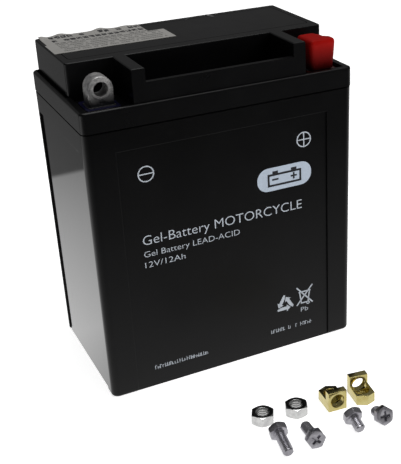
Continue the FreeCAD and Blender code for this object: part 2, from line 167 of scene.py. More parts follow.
def buildMetalSkin():
    # pits and dull patches of cast or plated metal
    tree, given, out = newGroup("metalSkin", {"Size": 500.0, "Pits": 0.5}, ["Height", "Tarnish"])
    cells = addNode(tree, "ShaderNodeTexVoronoi", {"Vector": given["Vector"], "Scale": given["Size"]})
    pits = remap(tree, cells.outputs["Distance"], 0.0, 0.35)
    grain = noiseOf(tree, given["Vector"], mathOf(tree, "MULTIPLY", given["Size"], 1.7), 4.0, 0.6)
    pitted = mathOf(tree, "MULTIPLY", pits, given["Pits"])
    smooth = mathOf(tree, "MULTIPLY", grain, mathOf(tree, "SUBTRACT", 1.0, given["Pits"]))
    plug(tree, mathOf(tree, "ADD", pitted, smooth), out["Height"])
    cloud = noiseOf(tree, given["Vector"], mathOf(tree, "MULTIPLY", given["Size"], 0.35), 5.0, 0.62)
    plug(tree, remap(tree, cloud, 0.38, 0.68), out["Tarnish"])
    return tree


def buildGreekedRows():
    # rows of dashes that stand for small print
    tree, given, out = newGroup("greekedRows", {"Row": 0.003, "Letter": 0.0012, "Fill": 0.6}, ["Mask"])
    parts = addNode(tree, "ShaderNodeSeparateXYZ", {"Vector": given["Vector"]})
    across = mathOf(tree, "DIVIDE", parts.outputs["X"], given["Letter"])
    down = mathOf(tree, "DIVIDE", parts.outputs["Y"], given["Row"])
    rowPlace = mathOf(tree, "FRACT", down)
    inRow = mathOf(tree, "LESS_THAN", rowPlace, given["Fill"])
    rowNumber = mathOf(tree, "FLOOR", down)
    cell = addNode(tree, "ShaderNodeCombineXYZ", {"X": mathOf(tree, "FLOOR", across), "Y": rowNumber})
    chance = addNode(tree, "ShaderNodeTexWhiteNoise", {"Vector": cell.outputs["Vector"]})
    present = mathOf(tree, "GREATER_THAN", chance.outputs["Value"], 0.16)
    stroke = addNode(tree, "ShaderNodeCombineXYZ", {"X": mathOf(tree, "MULTIPLY", across, 2.6),
                                                    "Y": mathOf(tree, "MULTIPLY", down, 4.0)})
    shape = remap(tree, noiseOf(tree, stroke.outputs["Vector"], 1.0, 1.0), 0.36, 0.44)
    gap = mathOf(tree, "LESS_THAN", mathOf(tree, "FRACT", across), 0.82)
    shown = mathOf(tree, "MULTIPLY", mathOf(tree, "MULTIPLY", inRow, present), gap)
    plug(tree, mathOf(tree, "MULTIPLY", shown, shape), out["Mask"])
    return tree


mouldSkin = buildMouldSkin()
dust = buildDust()
scratches = buildScratches()
metalSkin = buildMetalSkin()
greekedRows = buildGreekedRows()
print("shader groups made")


# materials

def newMaterial(name, shaderInputs):
    material = bpy.data.materials.new(name)
    material.use_nodes = True
    tree = material.node_tree
    shader = tree.nodes["Principled BSDF"]
    for socket, value in shaderInputs.items():
        shader.inputs[socket].default_value = value
    place = addNode(tree, "ShaderNodeTexCoord").outputs["Object"]
    return material, tree, shader, place


def dress(tree, shader, color, roughness, height, strength, depth):
    plug(tree, color, shader.inputs["Base Color"])
    plug(tree, roughness, shader.inputs["Roughness"])
    bump = addNode(tree, "ShaderNodeBump", {"Height": height, "Strength": strength, "Distance": depth})
    plug(tree, bump.outputs["Normal"], shader.inputs["Normal"])


plasticLooks = {
    "casePlastic": {"deep": (0.0007, 0.0007, 0.0008, 1), "worn": (0.0016, 0.0016, 0.0018, 1),
                    "specular": 0.2, "satin": (0.3, 0.38), "polish": (0.04, 0.07),
                    "grain": 1500.0, "ripple": 90.0, "bump": 0.05},
    "lidPlastic": {"deep": (0.0012, 0.0012, 0.0014, 1), "worn": (0.003, 0.003, 0.0032, 1),
                   "specular": 0.22, "satin": (0.26, 0.34), "polish": (0.105, 0.135),
                   "grain": 1300.0, "ripple": 70.0, "bump": 0.1},
}
wearLook = {"mark": (0.03, 0.03, 0.032, 1), "speck": (0.09, 0.088, 0.085, 1)}


def blackPlastic(name):
    look = plasticLooks[name]
    material, tree, shader, place = newMaterial(name, {"Specular IOR Level": look["specular"]})
    skin = placeGroup(tree, mouldSkin, place, {"Grain": look["grain"], "Ripple": look["ripple"],
                                               "Ripple Share": 0.6})
    specks = placeGroup(tree, dust, place, {"Amount": 0.25})["Mask"]
    marks = placeGroup(tree, scratches, place, {"Size": 90.0, "Amount": 0.35})["Mask"]
    body = blendColor(tree, skin["Cloud"], look["deep"], look["worn"])
    marked = blendColor(tree, mathOf(tree, "MULTIPLY", marks, 0.3), body, wearLook["mark"])
    color = blendColor(tree, mathOf(tree, "MULTIPLY", specks, 0.35), marked, wearLook["speck"])
    # the two ends are polished, the front, back and top are satin
    facing = addNode(tree, "ShaderNodeNewGeometry").outputs["Normal"]
    ends = remap(tree, mathOf(tree, "ABSOLUTE", axisOf(tree, facing, "X")), 0.75, 0.97)
    finish = addNode(tree, "ShaderNodeMix", data_type="FLOAT")
    plug(tree, ends, finish.inputs[0])
    plug(tree, remap(tree, skin["Cloud"], 0.3, 0.7, *look["satin"]), finish.inputs[2])
    plug(tree, remap(tree, skin["Cloud"], 0.3, 0.7, *look["polish"]), finish.inputs[3])
    roughness = mathOf(tree, "ADD", finish.outputs[0], mathOf(tree, "MULTIPLY", marks, 0.15))
    dress(tree, shader, color, roughness, skin["Height"], look["bump"], 0.00004)
    return material


# the darkest colour here is painted shade, faded in over a given height span at the cap's foot
vinylLook = {"deep": (0.2, 0.0025, 0.0015, 1), "pale": (0.29, 0.0045, 0.003, 1),
             "speck": (0.4, 0.06, 0.05, 1), "soil": (0.012, 0.001, 0.001, 1), "soiled": (0.1437, 0.1555)}


def redVinyl():
    look = vinylLook
    material, tree, shader, place = newMaterial("redVinyl", {
        "Specular IOR Level": 0.05, "Subsurface Weight": 0.1, "Subsurface Scale": 0.0015,
        "Subsurface Radius": (1.0, 0.25, 0.2)})
    skin = placeGroup(tree, mouldSkin, place, {"Grain": 1100.0, "Ripple": 240.0, "Ripple Share": 0.5})
    specks = placeGroup(tree, dust, place, {"Speck": 1800.0, "Amount": 0.5})["Mask"]
    body = blendColor(tree, remap(tree, skin["Cloud"], 0.3, 0.7), look["deep"], look["pale"])
    # painted shade: the cap's colour darkens towards its foot, where it sits low behind the rim
    unshaded = remap(tree, axisOf(tree, place, "Z"), *look["soiled"])
    soiled = blendColor(tree, unshaded, look["soil"], body)
    color = blendColor(tree, mathOf(tree, "MULTIPLY", specks, 0.4), soiled, look["speck"])
    roughness = remap(tree, skin["Cloud"], 0.3, 0.7, 0.45, 0.6)
    dress(tree, shader, color, roughness, skin["Height"], 0.2, 0.00008)
    return material


metalLooks = {
    # castLead darkens towards its foot with a painted shade colour over a height span
    "castLead": {"bright": (0.6, 0.59, 0.58, 1), "dull": (0.13, 0.13, 0.135, 1), "rough": (0.26, 0.5),
                 "size": 700.0, "pits": 0.5, "bump": 0.7, "depth": 0.00015, "marks": 0.5,
                 "metallic": 0.6, "soil": (0.025, 0.025, 0.027, 1), "soiled": (0.144, 0.1495)},
    "zincBolt": {"bright": (0.6, 0.59, 0.63, 1), "dull": (0.36, 0.35, 0.385, 1), "rough": (0.24, 0.42),
                 "size": 900.0, "pits": 0.25, "bump": 0.16, "depth": 0.00005, "marks": 0.35},
    "brightNut": {"bright": (0.86, 0.86, 0.85, 1), "dull": (0.66, 0.66, 0.66, 1), "rough": (0.08, 0.2),
                  "size": 700.0, "pits": 0.15, "bump": 0.08, "depth": 0.00004, "marks": 0.4},
    "brass": {"bright": (0.84, 0.74, 0.34, 1), "dull": (0.72, 0.6, 0.22, 1), "rough": (0.12, 0.26),
              "size": 600.0, "pits": 0.2, "bump": 0.12, "depth": 0.00005, "marks": 0.5},
    "plainLead": {"bright": (0.3, 0.3, 0.32, 1), "dull": (0.14, 0.14, 0.15, 1), "rough": (0.45, 0.65),
                  "size": 400.0, "pits": 0.4, "bump": 0.3, "depth": 0.0001, "marks": 0.2},
}


def metal(name):
    look = metalLooks[name]
    material, tree, shader, place = newMaterial(name, {"Metallic": look.get("metallic", 1.0)})
    skin = placeGroup(tree, metalSkin, place, {"Size": look["size"], "Pits": look["pits"]})
    marks = placeGroup(tree, scratches, place, {"Size": 420.0, "Amount": look["marks"]})["Mask"]
    body = blendColor(tree, skin["Tarnish"], look["bright"], look["dull"])
    scored = blendColor(tree, mathOf(tree, "MULTIPLY", marks, 0.5), body, look["bright"])
    # painted shade: the lug's colour darkens towards its foot, low in the pocket
    if "soil" in look:
        level = axisOf(tree, place, "Z")
        uneven = mathOf(tree, "MULTIPLY", mathOf(tree, "SUBTRACT", skin["Tarnish"], 0.5), 0.003)
        unshaded = remap(tree, mathOf(tree, "ADD", level, uneven), *look["soiled"])
        scored = blendColor(tree, unshaded, look["soil"], scored)
    roughness = remap(tree, skin["Tarnish"], 0.0, 1.0, *look["rough"])
    dress(tree, shader, scored, roughness, skin["Height"], look["bump"], look["depth"])
    return material


resinLooks = {
    "blueResin": {"deep": (0.004, 0.004, 0.014, 1), "pale": (0.012, 0.011, 0.04, 1)},
    "redResin": {"deep": (0.012, 0.001, 0.001, 1), "pale": (0.035, 0.003, 0.0025, 1)},
}


def resin(name):
    look = resinLooks[name]
    material, tree, shader, place = newMaterial(name, {"Specular IOR Level": 0.35, "Coat Weight": 0.3})
    skin = placeGroup(tree, mouldSkin, place, {"Grain": 600.0, "Ripple": 300.0, "Ripple Share": 0.8})
    color = blendColor(tree, skin["Cloud"], look["deep"], look["pale"])
    roughness = remap(tree, skin["Cloud"], 0.3, 0.7, 0.12, 0.3)
    dress(tree, shader, color, roughness, skin["Height"], 0.5, 0.0002)
    return material


softLooks = {
    "valveRubber": {"deep": (0.012, 0.012, 0.012, 1), "pale": (0.03, 0.03, 0.03, 1), "rough": (0.6, 0.8),
                    "grain": 1200.0, "bump": 0.2},
    "negativePaste": {"deep": (0.16, 0.17, 0.19, 1), "pale": (0.27, 0.28, 0.3, 1), "rough": (0.75, 0.95),
                      "grain": 1500.0, "bump": 0.5},
    "positivePaste": {"deep": (0.09, 0.04, 0.025, 1), "pale": (0.17, 0.08, 0.05, 1), "rough": (0.75, 0.95),
                      "grain": 1500.0, "bump": 0.5},
    "glassMat": {"deep": (0.6, 0.6, 0.58, 1), "pale": (0.82, 0.82, 0.8, 1), "rough": (0.85, 1.0),
                 "grain": 2600.0, "bump": 0.6},
    "gel": {"deep": (0.42, 0.44, 0.45, 1), "pale": (0.6, 0.62, 0.63, 1), "rough": (0.2, 0.4),
            "grain": 300.0, "bump": 0.2},
}


def softSolid(name):
    look = softLooks[name]
    material, tree, shader, place = newMaterial(name, {"Specular IOR Level": 0.3})
    skin = placeGroup(tree, mouldSkin, place, {"Grain": look["grain"], "Ripple": 160.0, "Ripple Share": 0.3})
    color = blendColor(tree, remap(tree, skin["Height"], 0.35, 0.65), look["deep"], look["pale"])
    roughness = remap(tree, skin["Cloud"], 0.3, 0.7, *look["rough"])
    dress(tree, shader, color, roughness, skin["Height"], look["bump"], 0.0001)
    return material


paperLook = {"sheet": (0.34, 0.33, 0.31, 1), "grey": (0.26, 0.255, 0.245, 1),
             "ink": (0.025, 0.025, 0.027, 1), "faintInk": (0.13, 0.128, 0.122, 1), "splitY": 0.0215,
             "pageX": (-0.0585, -0.0075), "pageY": (0.0062, 0.0352),
             "bigRows": {"Row": 0.0062, "Letter": 0.0031, "Fill": 0.62},
             "smallRows": {"Row": 0.0031, "Letter": 0.0011, "Fill": 0.6}}


def printedPaper():
    # larger rows behind the split, small faint rows in front of it, and a clear margin
    look = paperLook
    material, tree, shader, place = newMaterial("printedPaper", {"Specular IOR Level": 0.25})
    skin = placeGroup(tree, mouldSkin, place, {"Grain": 2400.0, "Ripple": 200.0, "Ripple Share": 0.2})
    big = placeGroup(tree, greekedRows, place, look["bigRows"])["Mask"]
    small = placeGroup(tree, greekedRows, place, look["smallRows"])["Mask"]
    axes = addNode(tree, "ShaderNodeSeparateXYZ", {"Vector": place}).outputs
    rear = mathOf(tree, "GREATER_THAN", axes["Y"], look["splitY"])
    page = mathOf(tree, "MULTIPLY", between(tree, axes["X"], *look["pageX"]),
                  between(tree, axes["Y"], *look["pageY"]))
    sheet = blendColor(tree, skin["Cloud"], look["grey"], look["sheet"])
    front = blendColor(tree, mathOf(tree, "MULTIPLY", small, page), sheet, look["faintInk"])
    back = blendColor(tree, mathOf(tree, "MULTIPLY", big, page), sheet, look["ink"])
    roughness = remap(tree, skin["Height"], 0.3, 0.7, 0.55, 0.8)
    dress(tree, shader, blendColor(tree, rear, front, back), roughness, skin["Height"], 0.3, 0.00005)
    return material


residueLook = {"pale": (0.1, 0.1, 0.1, 1), "dark": (0.035, 0.035, 0.036, 1)}


def residue():
    material, tree, shader, place = newMaterial("paperResidue", {"Specular IOR Level": 0.2})
    skin = placeGroup(tree, metalSkin, place, {"Size": 900.0, "Pits": 0.3})
    color = blendColor(tree, skin["Tarnish"], residueLook["pale"], residueLook["dark"])
    dress(tree, shader, color, 0.8, skin["Height"], 0.4, 0.00006)
    return material


inkLooks = {
    "printInk": {"full": (0.44, 0.475, 0.52, 1), "thin": (0.34, 0.37, 0.41, 1)},
    "badgeInk": {"full": (0.4, 0.46, 0.54, 1), "thin": (0.36, 0.415, 0.49, 1)},
    "badgeDark": {"full": (0.012, 0.013, 0.016, 1), "thin": (0.02, 0.021, 0.025, 1)},
}


def ink(name):
    look = inkLooks[name]
    material, tree, shader, place = newMaterial(name, {"Specular IOR Level": 0.25})
    skin = placeGroup(tree, mouldSkin, place, {"Grain": 3000.0, "Ripple": 400.0, "Ripple Share": 0.2})
    color = blendColor(tree, remap(tree, skin["Height"], 0.35, 0.6), look["thin"], look["full"])
    roughness = remap(tree, skin["Cloud"], 0.3, 0.7, 0.4, 0.55)
    dress(tree, shader, color, roughness, skin["Height"], 0.1, 0.00002)
    return material


makers = ((blackPlastic, plasticLooks), (metal, metalLooks), (resin, resinLooks), (softSolid, softLooks),
          (ink, inkLooks))
materials = {name: make(name) for make, looks in makers for name in looks}
materials["redVinyl"] = redVinyl()
materials["printedPaper"] = printedPaper()
materials["paperResidue"] = residue()
print("materials made", len(materials))


# finishes of the carried-over CAD nodes

nodeFinishes = {
    "case": "casePlastic", "lid": "lidPlastic", "valve_cover": "lidPlastic", "valve_cap": "valveRubber",
    "gel_fill": "gel", "partition_welds": "plainLead", "straps": "plainLead", "post": "plainLead",
    "bushing": "plainLead", "negative_plates": "negativePaste", "positive_plates": "positivePaste",
    "separators": "glassMat", "negative_terminal_seal": "blueResin", "positive_terminal_seal": "redResin",
    "terminal": "castLead", "terminal_cap": "redVinyl", "label": "printedPaper", "scrap": "paperResidue",
    "nut": "brightNut", "bolt": "zincBolt", "terminal_block": "brass",
}


def finishOf(nodeName):
    fitting = [key for key in nodeFinishes if key in nodeName]
    return nodeFinishes[max(fitting, key=len)]


for nodeName, cadNode in nodes.items():
    cadNode.data.materials.clear()
    cadNode.data.materials.append(materials[finishOf(nodeName)])
print("frame nodes finished", len(nodes))


# mesh helpers

def mergedCopy(nodeName):
    bm = bmesh.new()
    bm.from_mesh(nodes[nodeName].data)
    bmesh.ops.remove_doubles(bm, verts=bm.verts, dist=0.002 * mm)
    bmesh.ops.dissolve_limit(bm, angle_limit=math.radians(0.8), verts=bm.verts, edges=bm.edges)
    return bm


def bevelEdges(bm, edges, width, segments=3):
    bmesh.ops.bevel(bm, geom=edges, offset=width, offset_type="OFFSET", segments=segments, profile=0.5,
                    affect="EDGES", material=-1, clamp_overlap=True)


def easeEdges(bm, width, segments=3, sharperThan=32.0):
    sharp = [edge for edge in bm.edges
             if len(edge.link_faces) == 2 and edge.calc_face_angle() > math.radians(sharperThan)]
    bevelEdges(bm, sharp, width, segments)


def thicken(bm, rise):
    # every face of a flat sheet is drawn upwards; gives back the new vertices
    grown = bmesh.ops.extrude_face_region(bm, geom=bm.faces)
    raised = [item for item in grown["geom"] if isinstance(item, bmesh.types.BMVert)]
    bmesh.ops.translate(bm, vec=(0, 0, rise), verts=raised)
    return raised


def share(value, low, high):
    return min(max((value - low) / (high - low), 0), 1)


def newObject(name, data):
    made = bpy.data.objects.new(name, data)
    bpy.context.scene.collection.objects.link(made)
    return made


def pieceName(nodeName):
    return nodeName.replace("_", " ").title().replace(" ", "")


def finishPiece(bm, name, body, finish, replaced=(), smoothBelow=40.0):
    bmesh.ops.recalc_face_normals(bm, faces=bm.faces)
    mesh = bpy.data.meshes.new(name)
    bm.to_mesh(mesh)
    bm.free()
    mesh.polygons.foreach_set("use_smooth", [True] * len(mesh.polygons))
    mesh.set_sharp_from_angle(angle=math.radians(smoothBelow))
    mesh.materials.append(materials[finish])
    piece = newObject(name, mesh)
    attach(piece, body)
    if replaced:
        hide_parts(*replaced)
    return piece


def threadRidge(bm, root, crest, pitch, start, length, perTurn=26):
    # one closed rib of triangular section wound about Z; crest inside root makes a nut's thread
    sunk = root + math.copysign(0.12 * mm, root - crest)
    half = pitch * 0.47
    corners = [bm.verts.new((sunk, 0, start - half)), bm.verts.new((crest, 0, start)),
               bm.verts.new((sunk, 0, start + half))]
    section = bm.faces.new(corners)
    steps = round(length / pitch * perTurn)
    before = set(bm.verts)
    bmesh.ops.spin(bm, geom=[section, *section.edges, *corners], cent=(0, 0, 0), axis=(0, 0, 1),
                   dvec=(0, 0, length / steps), angle=math.tau * length / pitch, steps=steps,
                   use_merge=False, use_normal_flip=False, use_duplicate=False)
    ridge = corners + [vert for vert in bm.verts if vert not in before]
    rims = {edge for vert in ridge for edge in vert.link_edges if edge.is_boundary}
    if rims:
        bmesh.ops.holes_fill(bm, edges=list(rims), sides=4)


# red push-on cap: a soft dipped shell, wider at the top, one rear pad a little lower

capShape = {"edge": 2.2, "wall": 0.9, "taper": 0.13, "taperCurve": 1.2, "cuts": 17,
            "padX": (1.0, 5.5), "padY": (-3.0, 3.0), "padDrop": 1.3, "padCurve": 4,
            "dent": 0.1, "dentSize": 4.0, "skinBack": 0.02}


def buildTerminalCap():
    shape = capShape
    low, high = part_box("terminal_cap")
    size = high - low
    lowest = -size.z / 2
    edge = shape["edge"] * mm
    inner = size / 2 - Vector((edge, edge, edge))
    bm = bmesh.new()
    bmesh.ops.create_cube(bm, size=1.0)
    bmesh.ops.subdivide_edges(bm, edges=bm.edges, cuts=shape["cuts"], use_grid_fill=True)
    underside = [face for face in bm.faces if face.calc_center_median().z < -0.499]
    bmesh.ops.delete(bm, geom=underside, context="FACES")
    bmesh.ops.scale(bm, vec=size, verts=bm.verts)
    for vert in bm.verts:
        core = Vector((max(-inner.x, min(inner.x, vert.co.x)), max(-inner.y, min(inner.y, vert.co.y)),
                       max(lowest, min(inner.z, vert.co.z))))
        out = (vert.co - core).normalized()
        if out.length > 0:
            vert.co = core + out * edge
        height = (vert.co.z - lowest) / size.z
        narrow = 1 - shape["taper"] * (1 - height) ** shape["taperCurve"]
        vert.co.x *= narrow
        vert.co.y *= narrow
        pad = share(vert.co.x / mm, *shape["padX"]) * share(vert.co.y / mm, *shape["padY"])
        vert.co.z -= shape["padDrop"] * mm * pad * height ** shape["padCurve"]
        dent = abs(noise.noise(vert.co / (shape["dentSize"] * mm))) * shape["dent"]
        vert.co -= out * (dent + shape["skinBack"]) * mm
    bmesh.ops.translate(bm, vec=(low + high) / 2, verts=bm.verts)
    bmesh.ops.recalc_face_normals(bm, faces=bm.faces)
    bmesh.ops.solidify(bm, geom=bm.faces, thickness=shape["wall"] * mm)
    finishPiece(bm, "capShell", "terminal_cap", "redVinyl", ["terminal_cap"], 60)


# terminals: cast lead lugs with an eye, soft edges and a slightly uneven skin

lugShape = {"segments": 64, "halfWidth": 5.75, "hole": 3.25, "edge": 1.05,
            "footOver": 0.6, "footHeight": 1.2, "footEase": 0.35,
            "longestEdge": 0.9, "dent": 0.12, "dentSizes": (1.7, 0.7),
            "collar": ((3.3, -0.1), (4.9, -0.1), (4.55, 0.28), (3.75, 0.28))}  # radius, height


def buildTerminal(pole):
    shape = lugShape
    nodeName = pole + "_terminal"
    low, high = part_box(nodeName)
    half = shape["halfWidth"] * mm
    over = shape["footOver"] * mm
    middle = (low.x + high.x) / 2
    eye = high.z - half
    bm = bmesh.new()
    bmesh.ops.create_circle(bm, segments=shape["segments"], radius=half)
    for vert in bm.verts:
        if vert.co.y < -0.01 * mm:
            vert.co.y = low.z - eye
            if abs(vert.co.x) > half * 0.9:
                vert.co.x = math.copysign(half, vert.co.x)
    bmesh.ops.create_circle(bm, segments=shape["segments"], radius=shape["hole"] * mm)
    bmesh.ops.bridge_loops(bm, edges=bm.edges)
    thicken(bm, high.y - low.y - 2 * over)
    bmesh.ops.remove_doubles(bm, verts=bm.verts, dist=0.01 * mm)
    bmesh.ops.recalc_face_normals(bm, faces=bm.faces)
    easeEdges(bm, shape["edge"] * mm, 4, 60)
    bmesh.ops.rotate(bm, cent=(0, 0, 0), matrix=Matrix.Rotation(math.radians(90), 3, "X"), verts=bm.verts)
    bmesh.ops.translate(bm, vec=(middle, high.y - over, eye), verts=bm.verts)
    foot = bmesh.ops.create_cube(bm, size=1.0)["verts"]
    footSize = Vector((high.x - low.x, high.y - low.y, shape["footHeight"] * mm))
    bmesh.ops.scale(bm, vec=footSize, verts=foot)
    bmesh.ops.translate(bm, vec=(middle, (low.y + high.y) / 2, low.z + footSize.z / 2), verts=foot)
    rims = list({edge for vert in foot for edge in vert.link_edges})
    bevelEdges(bm, rims, shape["footEase"] * mm)
    bmesh.ops.triangulate(bm, faces=[face for face in bm.faces if len(face.verts) > 4])
    long = [edge for edge in bm.edges if edge.calc_length() > shape["longestEdge"] * mm]
    bmesh.ops.subdivide_edges(bm, edges=long, cuts=3)
    broad, fine = shape["dentSizes"]
    for vert in bm.verts:
        dent = noise.noise(vert.co / (broad * mm)) + 0.5 * noise.noise(vert.co / (fine * mm))
        vert.co -= vert.normal * abs(dent) * shape["dent"] * mm
    # the pressed ring round the eye
    section = [bm.verts.new((middle + radius * mm, low.y + over - out * mm, eye))
               for radius, out in shape["collar"]]
    sides = [bm.edges.new((section[i - 1], section[i])) for i in range(len(section))]
    bmesh.ops.spin(bm, geom=[*section, *sides], cent=(middle, 0, eye), axis=(0, 1, 0),
                   dvec=(0, 0, 0), angle=math.tau, steps=shape["segments"], use_merge=True,
                   use_normal_flip=False, use_duplicate=False)
    finishPiece(bm, pole + "Lug", "root", "castLead", [nodeName], 50)


# loose bolts: hexagon head with a cross recess, real thread on the shank

boltPlaces = {
    "long_bolt_1": {"heading": -97.0, "shank": 12.0, "roll": 10.0},
    "long_bolt_2": {"heading": 81.6, "shank": 12.0, "roll": 30.0},
    "short_bolt_1": {"heading": -93.4, "shank": 6.5, "roll": 5.0},
    "short_bolt_2": {"heading": 87.0, "shank": 6.5, "roll": 10.0},
}
boltShape = {"flats": 8.0, "thread": 2.5, "root": 2.1, "pitch": 0.8, "tip": 0.6, "neck": 0.8, "ease": 0.16,
             "collar": 0.5, "segments": 40}


def boltFrame(nodeName):
    # the bolt's own axes, from the way it lies: its head's corner and the end of its shank touch the floor
    place = boltPlaces[nodeName]
    corner = boltShape["flats"] / 2 / math.cos(math.radians(30))
    offFlat = 30 - abs(place["roll"] % 60 - 30)
    drop = corner * math.cos(math.radians(30 - offFlat)) - boltShape["thread"]
    tilt = math.atan2(drop, place["shank"] - boltShape["tip"])
    turned = (Matrix.Rotation(math.radians(place["heading"]), 4, "Z")
              @ Matrix.Rotation(math.radians(90) + tilt, 4, "Y"))
    axis = turned.to_3x3() @ Vector((0, 0, 1))
    points = [vert.co for vert in nodes[nodeName].data.vertices]
    reach = max(point.dot(axis) for point in points)
    tip = [point for point in points if point.dot(axis) > reach - 0.01 * mm]
    centre = sum(tip, Vector()) / len(tip)
    return Matrix.Translation(centre - axis * place["shank"] * mm) @ turned


def buildBolt(nodeName):
    # the head keeps the CAD's shape; the plain shank gives way to a core with a wound thread
    shape = boltShape
    local = boltFrame(nodeName)
    shank = boltPlaces[nodeName]["shank"] * mm
    tip, root, crest, neck = (shape[key] * mm for key in ("tip", "root", "thread", "neck"))
    bm = mergedCopy(nodeName)
    bmesh.ops.transform(bm, matrix=local.inverted(), verts=bm.verts)
    bmesh.ops.bisect_plane(bm, geom=[*bm.verts, *bm.edges, *bm.faces], plane_co=(0, 0, 0.05 * mm),
                           plane_no=(0, 0, 1), clear_outer=True)
    bmesh.ops.holes_fill(bm, edges=[edge for edge in bm.edges if edge.is_boundary], sides=0)
    easeEdges(bm, shape["ease"] * mm, 3, 25)
    core = bmesh.ops.create_cone(bm, cap_ends=True, segments=shape["segments"], radius1=root, radius2=root,
                                 depth=shank)["verts"]
    bmesh.ops.translate(bm, vec=(0, 0, shank / 2 - 0.02 * mm), verts=core)
    end = [edge for vert in core if vert.co.z > shank * 0.9 for edge in vert.link_edges
           if edge.other_vert(vert).co.z > shank * 0.9]
    bevelEdges(bm, list(set(end)), tip * 0.55)
    threadRidge(bm, root, crest, shape["pitch"] * mm, neck, shank - neck - tip)
    collar = bmesh.ops.create_cone(bm, cap_ends=True, segments=shape["segments"], radius1=crest,
                                   radius2=root + 0.05 * mm, depth=shape["collar"] * mm)["verts"]
    bmesh.ops.translate(bm, vec=(0, 0, 0.22 * mm), verts=collar)
    bmesh.ops.transform(bm, matrix=local, verts=bm.verts)
    finishPiece(bm, pieceName(nodeName), nodeName, "zincBolt", [nodeName], 35)


# loose nuts: eased corners and a wound thread inside

nutShape = {"root": 2.6, "crest": 2.36, "pitch": 1.0, "start": 1.05, "ease": 0.2}


def buildNut(nodeName):
    shape = nutShape
    low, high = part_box(nodeName)
    centre = Vector(((low.x + high.x) / 2, (low.y + high.y) / 2, low.z))
    start = shape["start"] * mm
    bm = mergedCopy(nodeName)
    bmesh.ops.translate(bm, vec=-centre, verts=bm.verts)
    easeEdges(bm, shape["ease"] * mm, 3, 20)
    threadRidge(bm, shape["root"] * mm, shape["crest"] * mm, shape["pitch"] * mm, start,
                high.z - low.z - 2 * start)
    bmesh.ops.translate(bm, vec=centre, verts=bm.verts)
    finishPiece(bm, pieceName(nodeName), nodeName, "brightNut", [nodeName], 35)


# brass terminal blocks with broken edges

blockPlaces = {
    "terminal_block_1": {"place": (18.6, -98.9), "turn": -5.0},
    "terminal_block_2": {"place": (43.7, -89.8), "turn": 172.0},
}
blockShape = {"ease": 0.25, "middle": 4.6, "boreZ": 5.1, "root": 3.3, "crest": 3.02, "pitch": 0.8,
              "start": 0.9, "length": 2.0}


def buildBlock(nodeName):
    shape = blockShape
    x, y = blockPlaces[nodeName]["place"]
    turn = Matrix.Rotation(math.radians(blockPlaces[nodeName]["turn"]), 4, "Z")
    bore = (Matrix.Translation((x * mm, y * mm, 0)) @ turn
            @ Matrix.Translation((shape["middle"] * mm, 0, shape["boreZ"] * mm))
            @ Matrix.Rotation(math.radians(-90), 4, "X"))
    bm = mergedCopy(nodeName)
    easeEdges(bm, shape["ease"] * mm, 3, 30)
    bmesh.ops.transform(bm, matrix=bore.inverted(), verts=bm.verts)
    threadRidge(bm, *(shape[key] * mm for key in ("root", "crest", "pitch", "start", "length")))
    bmesh.ops.transform(bm, matrix=bore, verts=bm.verts)
    finishPiece(bm, pieceName(nodeName), nodeName, "brass", [nodeName], 35)


# paper label on the top face: loose along its rear edge

labelShape = {"cell": 0.8, "stepX": -12.4, "stepY": 21.0, "liftY": 29.0, "leftInset": 1.0, "thickness": 0.12,
              "curl": 1.6, "ripple": 0.04, "fray": 0.25,
              "waves": {-61.5: (2.2, 0.75), -52.0: (3.4, 0.95), -32.0: (3.0, 1.05), -19.0: (3.0, 0.35)}}


def buildLabel():
    shape = labelShape
    low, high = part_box("top_label")
    size = high - low
    step = (shape["stepX"] * mm, shape["stepY"] * mm)
    inset = low.x + shape["leftInset"] * mm
    bm = bmesh.new()
    bmesh.ops.create_grid(bm, x_segments=round(size.x / mm / shape["cell"]),
                          y_segments=round(size.y / mm / shape["cell"]), size=0.5)
    bmesh.ops.scale(bm, vec=(size.x, size.y, 1), verts=bm.verts)
    bmesh.ops.translate(bm, vec=((low.x + high.x) / 2, (low.y + high.y) / 2, low.z), verts=bm.verts)
    for axis, level in ((0, step[0]), (1, step[1]), (0, inset)):
        normal = Vector((0, 0, 0))
        normal[axis] = 1
        bmesh.ops.bisect_plane(bm, geom=[*bm.verts, *bm.edges, *bm.faces], plane_co=normal * level,
                               plane_no=normal, dist=0.02 * mm)
    middles = {face: face.calc_center_median() for face in bm.faces}
    outside = [face for face, middle in middles.items()
               if middle.y > step[1] and (middle.x > step[0] or middle.x < inset)]
    bmesh.ops.delete(bm, geom=outside, context="FACES")
    room = size.z - shape["thickness"] * mm
    for vert in bm.verts:
        x, y = vert.co.x / mm, vert.co.y / mm
        back = share(y, shape["liftY"], high.y / mm)
        lift = sum(rise * math.exp(-((x - place) / spread) ** 2)
                   for place, (spread, rise) in shape["waves"].items())
        ripple = shape["ripple"] * (1 + noise.noise(Vector((x / 6, y / 9, 0))))
        vert.co.z = low.z + min(room, (lift * back ** shape["curl"] + ripple) * mm)
        vert.co.y -= shape["fray"] * mm * back * abs(noise.noise(Vector((x / 2.5, 3.1, 0))))
    thicken(bm, shape["thickness"] * mm)
    finishPiece(bm, "paperLabel", "root", "printedPaper", ["top_label"], 50)


# torn strips left from an older label

residueStrips = [  # each from one share of the scrap's box to another, and its width
    {"start": (0.06, 0.42), "end": (0.3, 0.86), "width": 1.0},
    {"start": (0.28, 0.84), "end": (0.92, 0.9), "width": 1.2},
    {"start": (0.9, 0.92), "end": (0.98, 0.2), "width": 1.9},
]


